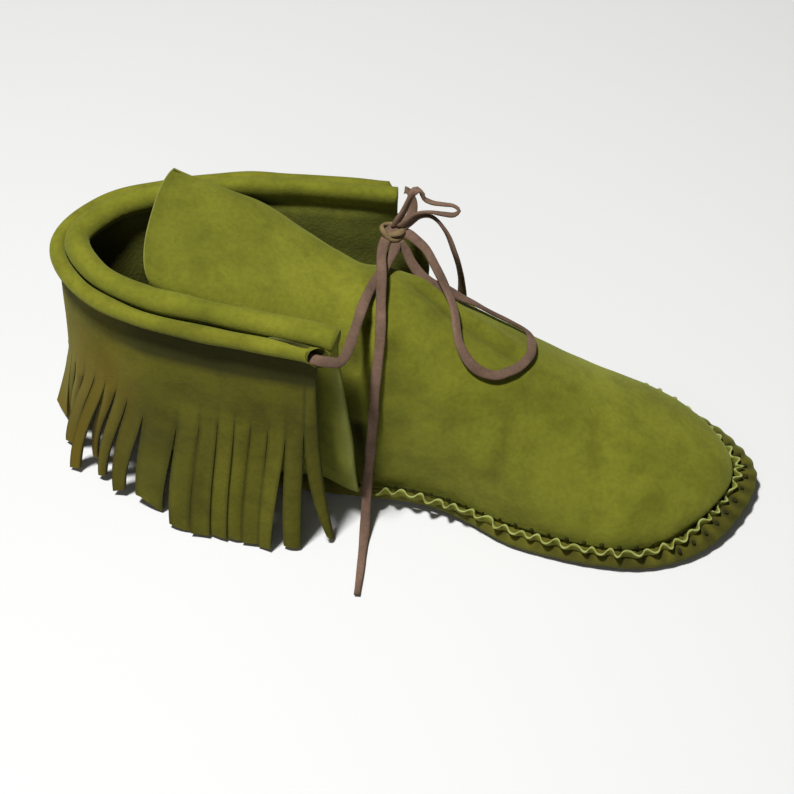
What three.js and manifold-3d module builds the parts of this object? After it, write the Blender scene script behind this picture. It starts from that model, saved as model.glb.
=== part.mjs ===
// Fringed suede moccasin boot, left foot. Millimetres, +X to the toe, +Y to the boot's left, +Z up.
// The origin is on the floor under the middle of the heel.
import * as THREE from 'three';
import Module from 'manifold-3d';
import { mergeVertices } from 'three/addons/utils/BufferGeometryUtils.js';

const wasm = await Module();
wasm.setup();

// Driving dimensions
const SOLE_LENGTH = 262;
const BALL_WIDTH = 97;
const HEEL_CENTRE = 40;
const SOLE_THICKNESS = 2.6;
const SOLE_TURN = 5;
const SEAM_HEIGHT = 9;
const SEAM_INSET = 4.6;
const TOE_TUCK = 6;
const ARCH_LIFT = 1.5;
const TOE_SPRING = 4;
const INSOLE_THICKNESS = 1.6;
const WALL = 2;
const LAP = 0.8;
const QUARTER_BELLY = 5;
const VAMP_HEIGHT = 100;
const TONGUE_HEIGHT = 130;
const TONGUE_WIDTH = 60;
const TONGUE_SHIFT = 3;
const TONGUE_SWELL = 0.08;
const COLLAR_HEIGHT = 115;
const COLLAR_WIDTH = 74;
const COLLAR_LENGTH = 116;
const COLLAR_BACK = 15.5;
const ROLL_RADIUS = 4.8;
const CASING_RADIUS = 3.2;
const CASING_DROP = 3;
const FLAP_THICKNESS = 1.6;
const FLAP_FLARE = 19;
const SLIT_HEIGHT = 58;
const TIP_HEIGHT = 2.4;
const TIP_SPREAD = 1.2;
const STRAND_WIDTH = 6.6;
const STRAND_PITCH = 8.2;
const PUCKER_PITCH = 7.6;
const PUCKER_DEPTH = 1.2;
const RUFFLE_HEIGHT = 4.6;
const RUFFLE_THICKNESS = 2;
const RUFFLE_WAVE = 1.8;
const RUFFLE_LEAN = 0.8;
const RUFFLE_CLEARANCE = 1.1;
const LACE_WIDTH = 4;
const LACE_THICKNESS = 1.6;
const KNOT_LENGTH = 10;
const GAP = 0.3;

// Sole outline, from the toe tip down the inner side to the heel and back up the outer side,
// as shares of the sole's length and of half the ball width
const OUTLINE = [
  { along: 1.0, across: 0.02 },
  { along: 0.967, across: -0.5 },
  { along: 0.91, across: -0.83 },
  { along: 0.83, across: -1.01 },
  { along: 0.75, across: -1.03 },
  { along: 0.67, across: -0.97 },
  { along: 0.61, across: -0.89 },
  { along: 0.55, across: -0.73 },
  { along: 0.485, across: -0.61 },
  { along: 0.38, across: -0.565 },
  { along: 0.25, across: -0.54 },
  { along: 0.12, across: -0.52 },
  { along: 0.03, across: -0.33 },
  { along: 0, across: 0.01 },
  { along: 0.03, across: 0.34 },
  { along: 0.12, across: 0.54 },
  { along: 0.27, across: 0.58 },
  { along: 0.4, across: 0.66 },
  { along: 0.52, across: 0.8 },
  { along: 0.62, across: 0.92 },
  { along: 0.72, across: 0.955 },
  { along: 0.81, across: 0.88 },
  { along: 0.89, across: 0.72 },
  { along: 0.955, across: 0.45 },
];

// Vamp from the toe back to the throat: where a row meets the seam and where it crosses the top line,
// as shares of the sole's length, its rise as a share of the vamp's height over the seam, how square
// its arch is, from 1 for an ellipse down to 0 for a box, and how far its sides swell over the seam
const VAMP_ROWS = [
  { seam: 0.928, top: 0.971, rise: 0, square: 1, swell: 0 },
  { seam: 0.905, top: 0.958, rise: 0.08, square: 1, swell: 0 },
  { seam: 0.875, top: 0.942, rise: 0.14, square: 1, swell: 0 },
  { seam: 0.84, top: 0.91, rise: 0.2, square: 1, swell: 0 },
  { seam: 0.8, top: 0.86, rise: 0.275, square: 1, swell: 0 },
  { seam: 0.745, top: 0.79, rise: 0.37, square: 1, swell: 0 },
  { seam: 0.68, top: 0.7, rise: 0.5, square: 1, swell: 0.02 },
  { seam: 0.6, top: 0.61, rise: 0.66, square: 0.95, swell: 0.05 },
  { seam: 0.52, top: 0.52, rise: 0.8, square: 0.9, swell: 0.14 },
  { seam: 0.45, top: 0.45, rise: 0.92, square: 0.84, swell: 0.26 },
  { seam: 0.39, top: 0.39, rise: 1, square: 0.8, swell: 0.3 },
  { seam: 0.355, top: 0.36, rise: 1.04, square: 0.8, swell: 0.26 },
];

// Tongue, from the throat to its free end: places along as shares of the sole's length,
// heights of its edges and crest as shares of the tongue's height, half width as a share of its width,
// and how square its arch is
const TONGUE_ROWS = [
  { edge: 0.31, top: 0.32, inner: 0.2, outer: 0.2, crest: 0.805, half: 0.46, square: 0.56 },
  { edge: 0.27, top: 0.27, inner: 0.46, outer: 0.5, crest: 0.845, half: 0.49, square: 0.56 },
  { edge: 0.21, top: 0.21, inner: 0.7, outer: 0.76, crest: 0.893, half: 0.5, square: 0.6 },
  { edge: 0.14, top: 0.14, inner: 0.84, outer: 0.89, crest: 0.945, half: 0.49, square: 0.7 },
  { edge: 0.08, top: 0.07, inner: 0.91, outer: 0.97, crest: 0.985, half: 0.47, square: 0.8 },
  { edge: 0.072, top: 0.055, inner: 0.93, outer: 1, crest: 1, half: 0.4, square: 0.8 },
];

// Centre line of the rolled collar, from its inner front end round the back to its outer front end,
// as shares of the collar's length from the back, its width and its height
const COLLAR = [
  { along: 0.925, across: -0.51, high: 0.985 },
  { along: 0.87, across: -0.49, high: 0.99 },
  { along: 0.67, across: -0.46, high: 1 },
  { along: 0.47, across: -0.42, high: 1 },
  { along: 0.26, across: -0.35, high: 1 },
  { along: 0.09, across: -0.21, high: 1 },
  { along: 0, across: 0.01, high: 1 },
  { along: 0.09, across: 0.25, high: 1 },
  { along: 0.26, across: 0.38, high: 1 },
  { along: 0.47, across: 0.48, high: 1 },
  { along: 0.67, across: 0.51, high: 1 },
  { along: 0.87, across: 0.53, high: 0.99 },
  { along: 1.04, across: 0.54, high: 0.985 },
];

// Routes of the thong, chosen by hand
const KNOT_CENTRE = [64.5, 30, 104.1];
const BAR_ROUTE = [
  [52.1, -46, 110.3], [53.2, -46, 110.2], [55, -43.5, 109.6], [56.2, -37, 108.4], [57.2, -25, 106.7],
  [58.4, -10, 105.1], [60.4, 1, 104], [62.8, 9.5, 102.3], [64.6, 17, 101.7], [66.2, 24.6, 101.3],
];
const OUTER_BAR_ROUTE = [
  [67, 48.1, 110.3], [68.5, 48, 110.1], [70.6, 45, 109.1], [71.3, 40.5, 107.6], [70.6, 37.4, 106.2],
  [69, 35.6, 105.3],
];
const LOOP_ROUTE = [
  [70.4, 29.8, 104.3], [74.5, 27.5, 103.2], [78.5, 25, 101.2], [82.9, 20, 97.2], [87.3, 14, 93.4],
  [91.7, 6.5, 89.2], [96.1, -8.5, 83.8], [102.2, -13.7, 77.8], [110.3, -14.1, 74.3], [116.1, -10.1, 72.9],
  [119.5, -5.9, 71.2], [123.1, 0.9, 70.1], [123.8, 6.6, 69.2], [121.4, 17.6, 66], [114.5, 18.7, 69.8],
  [105.9, 17.8, 75.8], [99.3, 17.1, 80.9], [93.1, 16.1, 85.2], [87.1, 16, 89.2], [81.8, 17, 90.6],
  [77, 19.8, 92], [73, 22.6, 95.6], [70.4, 25.4, 98.9],
];
const SMALL_LOOP_ROUTE = [
  [66, 30.8, 109.4], [68.4, 32.4, 113.6], [70.4, 34.4, 118.2], [71.9, 35.9, 121.4], [73.6, 36.9, 122.3],
  [75.2, 37.2, 120.4], [75.9, 36.9, 117.8], [79.5, 36, 116.6], [84, 35.2, 117], [88.4, 34.8, 117],
  [90.5, 33.5, 116], [88.8, 32.1, 114.9], [84, 31.8, 115.1], [78.6, 32.2, 115], [74, 32.2, 113.2],
  [70, 31, 109.7],
];
const LONG_END_ROUTE = [
  [61.9, 24.6, 103.6], [61.8, 16.5, 105], [62.8, 8.5, 105.9], [64.2, -3.5, 104.4], [65.7, -18.9, 93.7],
  [65, -26.6, 79.6], [64.4, -30.7, 60.5], [62.9, -31.3, 37.4], [61.9, -32, 24], [61.9, -37.5, 14],
  [62, -42.5, 6], [62.1, -47.5, 2.2], [62.4, -55, 1.7], [62.8, -65, 1.7], [63, -75, 1.7],
];
const SHORT_END_ROUTE = [
  [70.7, 32.6, 106.1], [74, 34, 109.4], [79.5, 34, 110.9], [85.5, 31.5, 106], [89.5, 29, 97],
  [91.5, 31, 86], [92.5, 35, 72], [92.5, 39.5, 52], [92, 43, 32], [91, 47, 16],
  [91, 52, 5], [91, 58, 1.9], [92, 70, 1.7],
];

const QUARTER_FRONT = 0.375;
const QUARTER_STATIONS = 40;
const VAMP_COLUMNS = 14;
const FLAP_ENDS = 0.022;

const SUEDE = { color: 0x7d7c22, roughness: 0.95, metalness: 0 };
const SUEDE_DARK = { color: 0x5e6018, roughness: 0.95, metalness: 0 };
const THONG = { color: 0x6a4a22, roughness: 0.9, metalness: 0 };
const LINING = { color: 0x3a3d14, roughness: 0.95, metalness: 0 };

const boot = new THREE.Group();

function addMesh(name, geometry, look) {
  const mesh = new THREE.Mesh(geometry, new THREE.MeshStandardMaterial(look));
  mesh.name = name;
  boot.add(mesh);
  return mesh;
}

function alongToX(share) {
  return share * SOLE_LENGTH - HEEL_CENTRE;
}

function smooth(low, high, value) {
  return THREE.MathUtils.smoothstep(value, low, high);
}

// Closed solid through loops of points; point j of a loop faces its point last - j, which closes the ends
function loft(sections) {
  const count = sections[0].length;
  const rows = sections.length;
  const positions = sections.flat().flatMap((p) => [p.x, p.y, p.z]);
  const faces = [];
  const quad = (a, b, c, d) => faces.push(a, b, c, a, c, d);
  for (let row = 0; row + 1 < rows; row += 1) {
    for (let j = 0; j < count; j += 1) {
      const next = (j + 1) % count;
      quad(row * count + j, row * count + next, (row + 1) * count + next, (row + 1) * count + j);
    }
  }
  const last = (rows - 1) * count;
  for (let j = 0; j + 1 < count / 2; j += 1) {
    quad(count - 1 - j, count - 2 - j, j + 1, j);
    quad(last + j, last + j + 1, last + count - 2 - j, last + count - 1 - j);
  }
  return closedGeometry(positions, faces);
}

// Merges shared points, drops faces that collapsed and turns the faces outward
function closedGeometry(positions, faces) {
  const raw = new THREE.BufferGeometry();
  raw.setAttribute('position', new THREE.Float32BufferAttribute(positions, 3));
  raw.setIndex(faces);
  const merged = mergeVertices(raw, 1e-3);
  const p = merged.getAttribute('position');
  const index = Array.from(merged.getIndex().array);
  const a = new THREE.Vector3();
  const b = new THREE.Vector3();
  const c = new THREE.Vector3();
  const kept = [];
  let volume = 0;
  for (let i = 0; i < index.length; i += 3) {
    const [ia, ib, ic] = index.slice(i, i + 3);
    if (ia !== ib && ib !== ic && ia !== ic) {
      kept.push([ia, ib, ic]);
      a.fromBufferAttribute(p, ia);
      b.fromBufferAttribute(p, ib);
      c.fromBufferAttribute(p, ic);
      volume += a.dot(b.cross(c)) / 6;
    }
  }
  merged.setIndex(kept.flatMap(([ia, ib, ic]) => (volume < 0 ? [ia, ic, ib] : [ia, ib, ic])));
  merged.computeVertexNormals();
  return merged;
}

function toSolid(geometry) {
  return new wasm.Manifold(new wasm.Mesh({
    numProp: 3,
    vertProperties: new Float32Array(geometry.getAttribute('position').array),
    triVerts: new Uint32Array(geometry.getIndex().array),
  }));
}

// A ready-made shape with only its positions, its shared points merged
function bareGeometry(geometry) {
  const whole = geometry.getIndex() ? geometry.toNonIndexed() : geometry;
  const positions = Array.from(whole.getAttribute('position').array);
  return closedGeometry(positions, positions.slice(0, positions.length / 3).map((_, i) => i));
}

function toGeometry(solid) {
  const mesh = solid.getMesh();
  const geometry = new THREE.BufferGeometry();
  geometry.setAttribute('position', new THREE.BufferAttribute(mesh.vertProperties, 3));
  geometry.setIndex(new THREE.BufferAttribute(mesh.triVerts, 1));
  geometry.computeVertexNormals();
  return geometry;
}

function joined(geometries) {
  return toGeometry(geometries.map(toSolid).reduce((all, next) => all.add(next)));
}

// Height of the sole's underside: flat at the heel and under the ball, lifted at the arch and the toe
function underside(x) {
  const share = (x + HEEL_CENTRE) / SOLE_LENGTH;
  const arch = smooth(0.32, 0.45, share) * (1 - smooth(0.47, 0.6, share));
  const toe = Math.max(0, (share - 0.84) / 0.16);
  return ARCH_LIFT * arch + TOE_SPRING * toe * toe;
}

// The outline as points half a pucker apart, each with its outward direction
const outlineCurve = new THREE.CatmullRomCurve3(
  OUTLINE.map(({ along, across }) => new THREE.Vector3(alongToX(along), (across * BALL_WIDTH) / 2, 0)),
  true,
);
const PUCKERS = 2 * Math.round(outlineCurve.getLength() / PUCKER_PITCH / 2);
const STATIONS = 2 * PUCKERS;
const outline = outlineCurve.getSpacedPoints(STATIONS).slice(0, STATIONS);

function wrap(i) {
  return ((i % STATIONS) + STATIONS) % STATIONS;
}

const outward = outline.map((_, i) => {
  const step = outline[wrap(i + 1)].clone().sub(outline[wrap(i - 1)]).normalize();
  return new THREE.Vector3(-step.y, step.x, 0);
});

// How far the seam lies inside the outline: tucked far in at the toe, straight over the edge at the waist
function seamInset(x) {
  const share = (x + HEEL_CENTRE) / SOLE_LENGTH;
  const waist = smooth(0.3, 0.38, share) * (1 - smooth(0.48, 0.62, share));
  return SEAM_INSET * (1 - 0.85 * waist) + TOE_TUCK * smooth(0.8, 0.97, share);
}

// A point of the outline moved inward and set at a height over the underside; i may be a fraction
function outlinePoint(i, inset, height) {
  const low = Math.floor(i);
  const t = i - low;
  const place = outline[wrap(low)].clone().lerp(outline[wrap(low + 1)], t);
  const way = outward[wrap(low)].clone().lerp(outward[wrap(low + 1)], t).normalize();
  place.addScaledVector(way, -inset(place.x));
  place.z = underside(place.x) + height;
  return place;
}

// Index of the outline point of one side, -1 for the inner side and +1 for the outer side, at a place along
function indexAt(share, side) {
  const x = alongToX(share);
  let i = 0;
  while (outline[wrap(i - side)].x > x) {
    i -= side;
  }
  const here = outline[wrap(i)].x;
  const next = outline[wrap(i - side)].x;
  return i - side * ((here - x) / (here - next));
}

// Sole: a soft cup with a flat bottom, gathered into puckers round the forefoot
function sole() {
  const pucker = (i) => {
    const share = (outline[wrap(i)].x + HEEL_CENTRE) / SOLE_LENGTH;
    return wrap(i) % 2 === 1 ? PUCKER_DEPTH * smooth(0.4, 0.7, share) : 0;
  };
  const profile = (i) => [
    outlinePoint(i, () => SOLE_TURN, SOLE_THICKNESS),
    outlinePoint(i, (x) => seamInset(x) + WALL, SEAM_HEIGHT),
    outlinePoint(i, (x) => seamInset(x), SEAM_HEIGHT),
    outlinePoint(i, () => pucker(i), SEAM_HEIGHT * 0.52),
    outlinePoint(i, () => SOLE_TURN * 0.3, SEAM_HEIGHT * 0.14),
    outlinePoint(i, () => SOLE_TURN, 0),
  ];
  const sections = [];
  for (let i = 0; i <= STATIONS / 2; i += 1) {
    sections.push([...profile(i), ...profile(STATIONS - i).reverse()]);
  }
  return loft(sections);
}

function insole() {
  const inset = (x) => Math.max(seamInset(x) + WALL, SOLE_TURN) + 2 * GAP;
  const low = SOLE_THICKNESS + GAP;
  const sections = [];
  for (let i = 0; i <= STATIONS / 2; i += 2) {
    const near = [low + INSOLE_THICKNESS, low].map((height) => outlinePoint(i, inset, height));
    const far = [low, low + INSOLE_THICKNESS].map((height) => outlinePoint(STATIONS - i, inset, height));
    sections.push([...near, ...far]);
  }
  return loft(sections);
}

// Smooth rows between the hand-set ones, two for each step
function filledRows(rows) {
  const curves = rows[0].map((_, column) => new THREE.CatmullRomCurve3(rows.map((row) => row[column])));
  const steps = 2 * (rows.length - 1);
  return Array.from({ length: steps + 1 }, (_, k) => curves.map((curve) => curve.getPoint(k / steps)));
}

function arch(near, far, top, square, swell) {
  const points = [];
  for (let column = 0; column <= VAMP_COLUMNS; column += 1) {
    const angle = (column / VAMP_COLUMNS - 0.5) * Math.PI;
    const crown = Math.abs(Math.cos(angle)) ** square;
    const side = Math.sign(angle) * Math.abs(Math.sin(angle)) ** square;
    const foot = near.clone().lerp(far, (side + 1) / 2);
    points.push(new THREE.Vector3(
      foot.x + (top.x - (near.x + far.x) / 2) * crown * crown,
      foot.y + side * swell * crown * (far.y - near.y) / 2,
      foot.z + (top.z - foot.z) * crown,
    ));
  }
  return points;
}

// Vamp with the tongue cut in one: a sheet of the wall's thickness over arched rows
function vamp() {
  const seamHeight = SEAM_HEIGHT + GAP;
  const toe = [-1, 1].map((side) => indexAt(VAMP_ROWS[0].seam, side));
  const toeRow = Array.from({ length: VAMP_COLUMNS + 1 }, (_, column) => outlinePoint(
    THREE.MathUtils.lerp(toe[0], toe[1], column / VAMP_COLUMNS), seamInset, seamHeight,
  ));
  const seamRows = VAMP_ROWS.slice(1).map(({ seam, top, rise, square, swell }) => {
    const near = outlinePoint(indexAt(seam, -1), seamInset, seamHeight);
    const far = outlinePoint(indexAt(seam, 1), seamInset, seamHeight);
    const crest = new THREE.Vector3(
      alongToX(top), 0, near.z + rise * (VAMP_HEIGHT - seamHeight),
    );
    return arch(near, far, crest, square, swell);
  });
  const tongueRows = TONGUE_ROWS.map(({ edge, top, inner, outer, crest, half, square }) => arch(
    new THREE.Vector3(alongToX(edge), TONGUE_SHIFT - half * TONGUE_WIDTH, inner * TONGUE_HEIGHT),
    new THREE.Vector3(alongToX(edge), TONGUE_SHIFT + half * TONGUE_WIDTH, outer * TONGUE_HEIGHT),
    new THREE.Vector3(alongToX(top), 0, crest * TONGUE_HEIGHT),
    square,
    TONGUE_SWELL,
  ));
  const aboveSeam = (point) => point.setZ(Math.max(point.z, underside(point.x) + seamHeight));
  const rows = filledRows([toeRow, ...seamRows, ...tongueRows]).map((row) => row.map(aboveSeam));
  const onSeam = 2 * seamRows.length;
  return loft(rows.map((row, r) => {
    const inner = row.map((point, c) => {
      const before = rows[Math.max(0, r - 1)][c];
      const after = rows[Math.min(rows.length - 1, r + 1)][c];
      const across = row[Math.min(VAMP_COLUMNS, c + 1)].clone().sub(row[Math.max(0, c - 1)]);
      const back = after.clone().sub(before);
      const way = across.clone().cross(back);
      if (r === 0) {
        way.set(across.y, -across.x, 0);
      } else if (r <= onSeam && c === 0) {
        way.set(-back.y, back.x, 0);
      } else if (r <= onSeam && c === VAMP_COLUMNS) {
        way.set(back.y, -back.x, 0);
      }
      return aboveSeam(point.clone().addScaledVector(way.normalize(), -WALL));
    });
    return [...row, ...inner.reverse()];
  }));
}

// Collar centre line as evenly spaced points, each with its outward direction
const collarCurve = new THREE.CatmullRomCurve3(COLLAR.map(({ along, across, high }) => new THREE.Vector3(
  along * COLLAR_LENGTH - COLLAR_BACK - HEEL_CENTRE,
  across * COLLAR_WIDTH,
  high * COLLAR_HEIGHT,
)));

function collarStation(share) {
  const place = collarCurve.getPointAt(share);
  const step = collarCurve.getTangentAt(share);
  return { place, way: new THREE.Vector3(-step.y, step.x, 0).normalize() };
}

// Quarters and shaft: the wall rises from the seam line to the rolled collar
function quarters() {
  const first = indexAt(QUARTER_FRONT, -1);
  const last = indexAt(QUARTER_FRONT, 1) + STATIONS;
  const heights = [0, 0.12, 0.3, 0.55, 0.8];
  const rollAngles = [-65, -20, 25, 70];
  const sections = [];
  for (let k = 0; k <= QUARTER_STATIONS; k += 1) {
    const share = k / QUARTER_STATIONS;
    const i = THREE.MathUtils.lerp(first, last, share);
    const foot = outlinePoint(i, (x) => seamInset(x) - LAP + WALL / 2, SEAM_HEIGHT + GAP);
    const footWay = outward[wrap(Math.round(i))];
    const { place, way } = collarStation(share);
    const wall = (height, side) => foot.clone().lerp(place, height).addScaledVector(
      footWay.clone().lerp(way, height).normalize(),
      (side * WALL) / 2 + QUARTER_BELLY * Math.sin(Math.PI * height ** 0.7),
    );
    const roll = (degrees) => {
      const angle = THREE.MathUtils.degToRad(degrees);
      const point = place.clone().addScaledVector(way, ROLL_RADIUS * Math.cos(angle));
      point.z += ROLL_RADIUS * Math.sin(angle);
      return point;
    };
    const outer = [...heights.map((height) => wall(height, 1)), ...rollAngles.map(roll)];
    const inner = [...heights.map((height) => wall(height, -1)), ...rollAngles.map((a) => roll(180 - a))];
    sections.push([...outer, ...inner.reverse()]);
  }
  return loft(sections);
}

// Seam ruffle: the two gathered edges stand out of the seam in a zigzag
function seamRuffle() {
  const first = Math.ceil(indexAt(QUARTER_FRONT, 1)) + 2;
  const last = Math.floor(indexAt(QUARTER_FRONT, -1)) - 2;
  const sections = [];
  for (let i = first; i <= last; i += 1) {
    const wave = wrap(i) % 2 === 0 ? 0 : RUFFLE_WAVE;
    const root = (depth) => outlinePoint(i, (x) => seamInset(x) - RUFFLE_CLEARANCE - depth - wave * 0.3,
      SEAM_HEIGHT + GAP + depth * 0.1);
    const tip = (depth) => outlinePoint(i, (x) => seamInset(x) - RUFFLE_CLEARANCE - RUFFLE_LEAN - depth - wave,
      SEAM_HEIGHT + GAP + RUFFLE_HEIGHT - depth * 0.4);
    sections.push([root(0), tip(0), tip(RUFFLE_THICKNESS), root(RUFFLE_THICKNESS)]);
  }
  return loft(sections);
}

// Cuff: the thong's casing round the collar, with the fringe flap and its strips in one piece
function cuffFringe() {
  const casingOut = Math.sqrt((ROLL_RADIUS + CASING_RADIUS + 2 * GAP) ** 2 - CASING_DROP ** 2);
  const flapTop = CASING_DROP + CASING_RADIUS;
  const flapOut = (height) => {
    const down = (COLLAR_HEIGHT - flapTop - height) / (COLLAR_HEIGHT - flapTop - TIP_HEIGHT);
    return casingOut - FLAP_THICKNESS / 2 + (FLAP_FLARE - casingOut) * down;
  };
  const point = ({ place, way }, out, height) => {
    const found = place.clone().addScaledVector(way, out);
    found.z = height;
    return found;
  };
  const flapPoint = (station, height, side) => point(
    station, flapOut(height) + (side * FLAP_THICKNESS) / 2, height,
  );
  const casing = [];
  const flap = [];
  for (let k = 0; k <= QUARTER_STATIONS; k += 1) {
    const end = collarStation(k / QUARTER_STATIONS);
    casing.push([0, 45, 90, 135, 180, 225, 270, 315].map((degrees) => {
      const angle = THREE.MathUtils.degToRad(degrees);
      return point(end, casingOut + CASING_RADIUS * Math.cos(angle),
        end.place.z - CASING_DROP + CASING_RADIUS * Math.sin(angle));
    }));
    const station = collarStation(THREE.MathUtils.lerp(FLAP_ENDS, 1 - FLAP_ENDS, k / QUARTER_STATIONS));
    const levels = [SLIT_HEIGHT, (SLIT_HEIGHT + COLLAR_HEIGHT) / 2, station.place.z - CASING_DROP];
    const outer = levels.map((z) => flapPoint(station, z, 1));
    const inner = levels.map((z) => flapPoint(station, z, -1));
    flap.push([...outer, ...inner.reverse()]);
  }
  const strands = Math.floor((collarCurve.getLength() + Math.PI * flapOut(SLIT_HEIGHT)) / STRAND_PITCH);
  const strips = Array.from({ length: strands }, (_, k) => {
    const station = collarStation(THREE.MathUtils.lerp(FLAP_ENDS, 1 - FLAP_ENDS, (k + 0.5) / strands));
    const along = new THREE.Vector3(station.way.y, -station.way.x, 0);
    const sway = Math.sin(k * 2.4) * STRAND_WIDTH * 0.3;
    const level = (height, width, shift) => [[-1, 1], [1, 1], [1, -1], [-1, -1]].map(([end, side]) => (
      flapPoint(station, height, side).addScaledVector(along, (end * width) / 2 + shift)
    ));
    const tip = TIP_HEIGHT + TIP_SPREAD * (1 + Math.sin(k * 1.7));
    return loft([
      level(SLIT_HEIGHT + FLAP_THICKNESS, STRAND_WIDTH, 0),
      level((SLIT_HEIGHT + tip) / 2, STRAND_WIDTH, sway * 0.4),
      level(tip, STRAND_WIDTH * 0.75, sway),
    ]);
  });
  return joined([loft(casing), loft(flap), ...strips]);
}

function thongAlong(route) {
  const curve = new THREE.CatmullRomCurve3(route.map((point) => new THREE.Vector3(...point)));
  const diameter = (LACE_WIDTH + LACE_THICKNESS) / 2;
  const corners = Array.from({ length: 6 }, (_, k) => new THREE.Vector2(
    (diameter / 2) * Math.cos((k * Math.PI) / 3),
    (diameter / 2) * Math.sin((k * Math.PI) / 3),
  ));
  return toGeometry(toSolid(bareGeometry(new THREE.ExtrudeGeometry(new THREE.Shape(corners), {
    steps: Math.ceil(curve.getLength() / (1.7 * diameter)),
    extrudePath: curve,
    bevelEnabled: false,
  }))));
}

function knot() {
  const ball = new THREE.SphereGeometry(KNOT_LENGTH / 2, 12, 8);
  ball.scale(1, 0.9, 0.8);
  ball.translate(...KNOT_CENTRE);
  return toGeometry(toSolid(bareGeometry(ball)));
}

addMesh('sole', sole(), SUEDE_DARK);
addMesh('insole', insole(), LINING);
addMesh('upper', joined([vamp(), quarters()]), SUEDE);
addMesh('seam_ruffle', seamRuffle(), SUEDE);
addMesh('cuff_fringe', cuffFringe(), SUEDE);
addMesh('lace_bar', thongAlong(BAR_ROUTE), THONG);
addMesh('lace_bar_outer', thongAlong(OUTER_BAR_ROUTE), THONG);
addMesh('lace_knot', knot(), THONG);
addMesh('lace_loop_big', thongAlong(LOOP_ROUTE), THONG);
addMesh('lace_loop_small', thongAlong(SMALL_LOOP_ROUTE), THONG);
addMesh('lace_end_long', thongAlong(LONG_END_ROUTE), THONG);
addMesh('lace_end_short', thongAlong(SHORT_END_ROUTE), THONG);

export default boot;
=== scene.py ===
import math

import bmesh
import bpy
import numpy as np
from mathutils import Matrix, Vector


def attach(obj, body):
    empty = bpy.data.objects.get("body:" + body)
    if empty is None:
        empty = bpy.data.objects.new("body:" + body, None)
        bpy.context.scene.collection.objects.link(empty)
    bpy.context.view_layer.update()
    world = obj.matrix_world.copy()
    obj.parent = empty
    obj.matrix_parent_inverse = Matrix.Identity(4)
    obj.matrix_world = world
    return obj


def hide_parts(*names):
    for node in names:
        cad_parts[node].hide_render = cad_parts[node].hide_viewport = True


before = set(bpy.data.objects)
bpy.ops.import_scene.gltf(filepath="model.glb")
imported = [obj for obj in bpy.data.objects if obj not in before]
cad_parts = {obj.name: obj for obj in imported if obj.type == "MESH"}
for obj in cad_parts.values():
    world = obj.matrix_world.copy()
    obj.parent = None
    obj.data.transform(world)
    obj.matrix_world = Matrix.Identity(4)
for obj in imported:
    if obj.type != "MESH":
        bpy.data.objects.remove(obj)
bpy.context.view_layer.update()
MM = 0.001
rng = np.random.default_rng(7)

# Driving dimensions, as in the part's source but for the thinner ruffle and lace
SOLE_LENGTH = 262
BALL_WIDTH = 97
HEEL_CENTRE = 40
SOLE_THICKNESS = 2.6
SOLE_TURN = 5
SEAM_HEIGHT = 9
SEAM_INSET = 4.6
TOE_TUCK = 6
ARCH_LIFT = 1.5
TOE_SPRING = 4
INSOLE_THICKNESS = 1.6
WALL = 2
LAP = 0.8
QUARTER_BELLY = 5
VAMP_HEIGHT = 100
TONGUE_HEIGHT = 130
TONGUE_WIDTH = 60
TONGUE_SHIFT = 3
TONGUE_SWELL = 0.08
COLLAR_HEIGHT = 115
COLLAR_WIDTH = 74
COLLAR_LENGTH = 116
COLLAR_BACK = 15.5
ROLL_RADIUS = 4.8
CASING_RADIUS = 3.2
CASING_DROP = 3
FLAP_THICKNESS = 1.6
FLAP_FLARE = 19
PUCKER_PITCH = 7.6
PUCKER_DEPTH = 1.2
RUFFLE_HEIGHT = 4.6
RUFFLE_THICKNESS = 1.6
RUFFLE_CLEARANCE = 1.1
GAP = 0.3
QUARTER_FRONT = 0.375
FLAP_ENDS = 0.022
LACE_WIDTH = 4
LACE_THICKNESS = 1.5
SMALL_LOOP_WIDTH = 3.4

# Sole outline from the toe tip down the inner side to the heel and back up the outer side:
# place along as a share of the length, place across as a share of half the ball width
OUTLINE = [
    (1.0, 0.02), (0.967, -0.5), (0.91, -0.83), (0.83, -1.01), (0.75, -1.03), (0.67, -0.97),
    (0.61, -0.89), (0.55, -0.73), (0.485, -0.61), (0.38, -0.565), (0.25, -0.54), (0.12, -0.52),
    (0.03, -0.33), (0, 0.01), (0.03, 0.34), (0.12, 0.54), (0.27, 0.58), (0.4, 0.66),
    (0.52, 0.8), (0.62, 0.92), (0.72, 0.955), (0.81, 0.88), (0.89, 0.72), (0.955, 0.45),
]

# Vamp rows from the toe to the throat: seam, top, rise, square, swell
VAMP_ROWS = [
    (0.928, 0.971, 0, 1, 0), (0.905, 0.958, 0.08, 1, 0), (0.875, 0.942, 0.14, 1, 0), (0.84, 0.91, 0.2, 1, 0),
    (0.8, 0.86, 0.275, 1, 0), (0.745, 0.79, 0.37, 1, 0), (0.68, 0.7, 0.5, 1, 0.02),
    (0.6, 0.61, 0.66, 0.95, 0.05),
    (0.52, 0.52, 0.8, 0.9, 0.14), (0.45, 0.45, 0.92, 0.84, 0.26), (0.39, 0.39, 1, 0.8, 0.3),
    (0.355, 0.36, 1.04, 0.8, 0.26),
]

# Tongue rows from the throat to the free end: edge, top, inner, outer, crest, half width, square
TONGUE_ROWS = [
    (0.31, 0.32, 0.2, 0.2, 0.805, 0.46, 0.56), (0.27, 0.27, 0.46, 0.5, 0.845, 0.49, 0.56),
    (0.21, 0.21, 0.7, 0.76, 0.893, 0.5, 0.6), (0.14, 0.14, 0.84, 0.89, 0.945, 0.49, 0.7),
    (0.08, 0.07, 0.91, 0.965, 0.985, 0.475, 0.8), (0.07, 0.055, 0.92, 0.985, 1, 0.46, 0.8),
]

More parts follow.
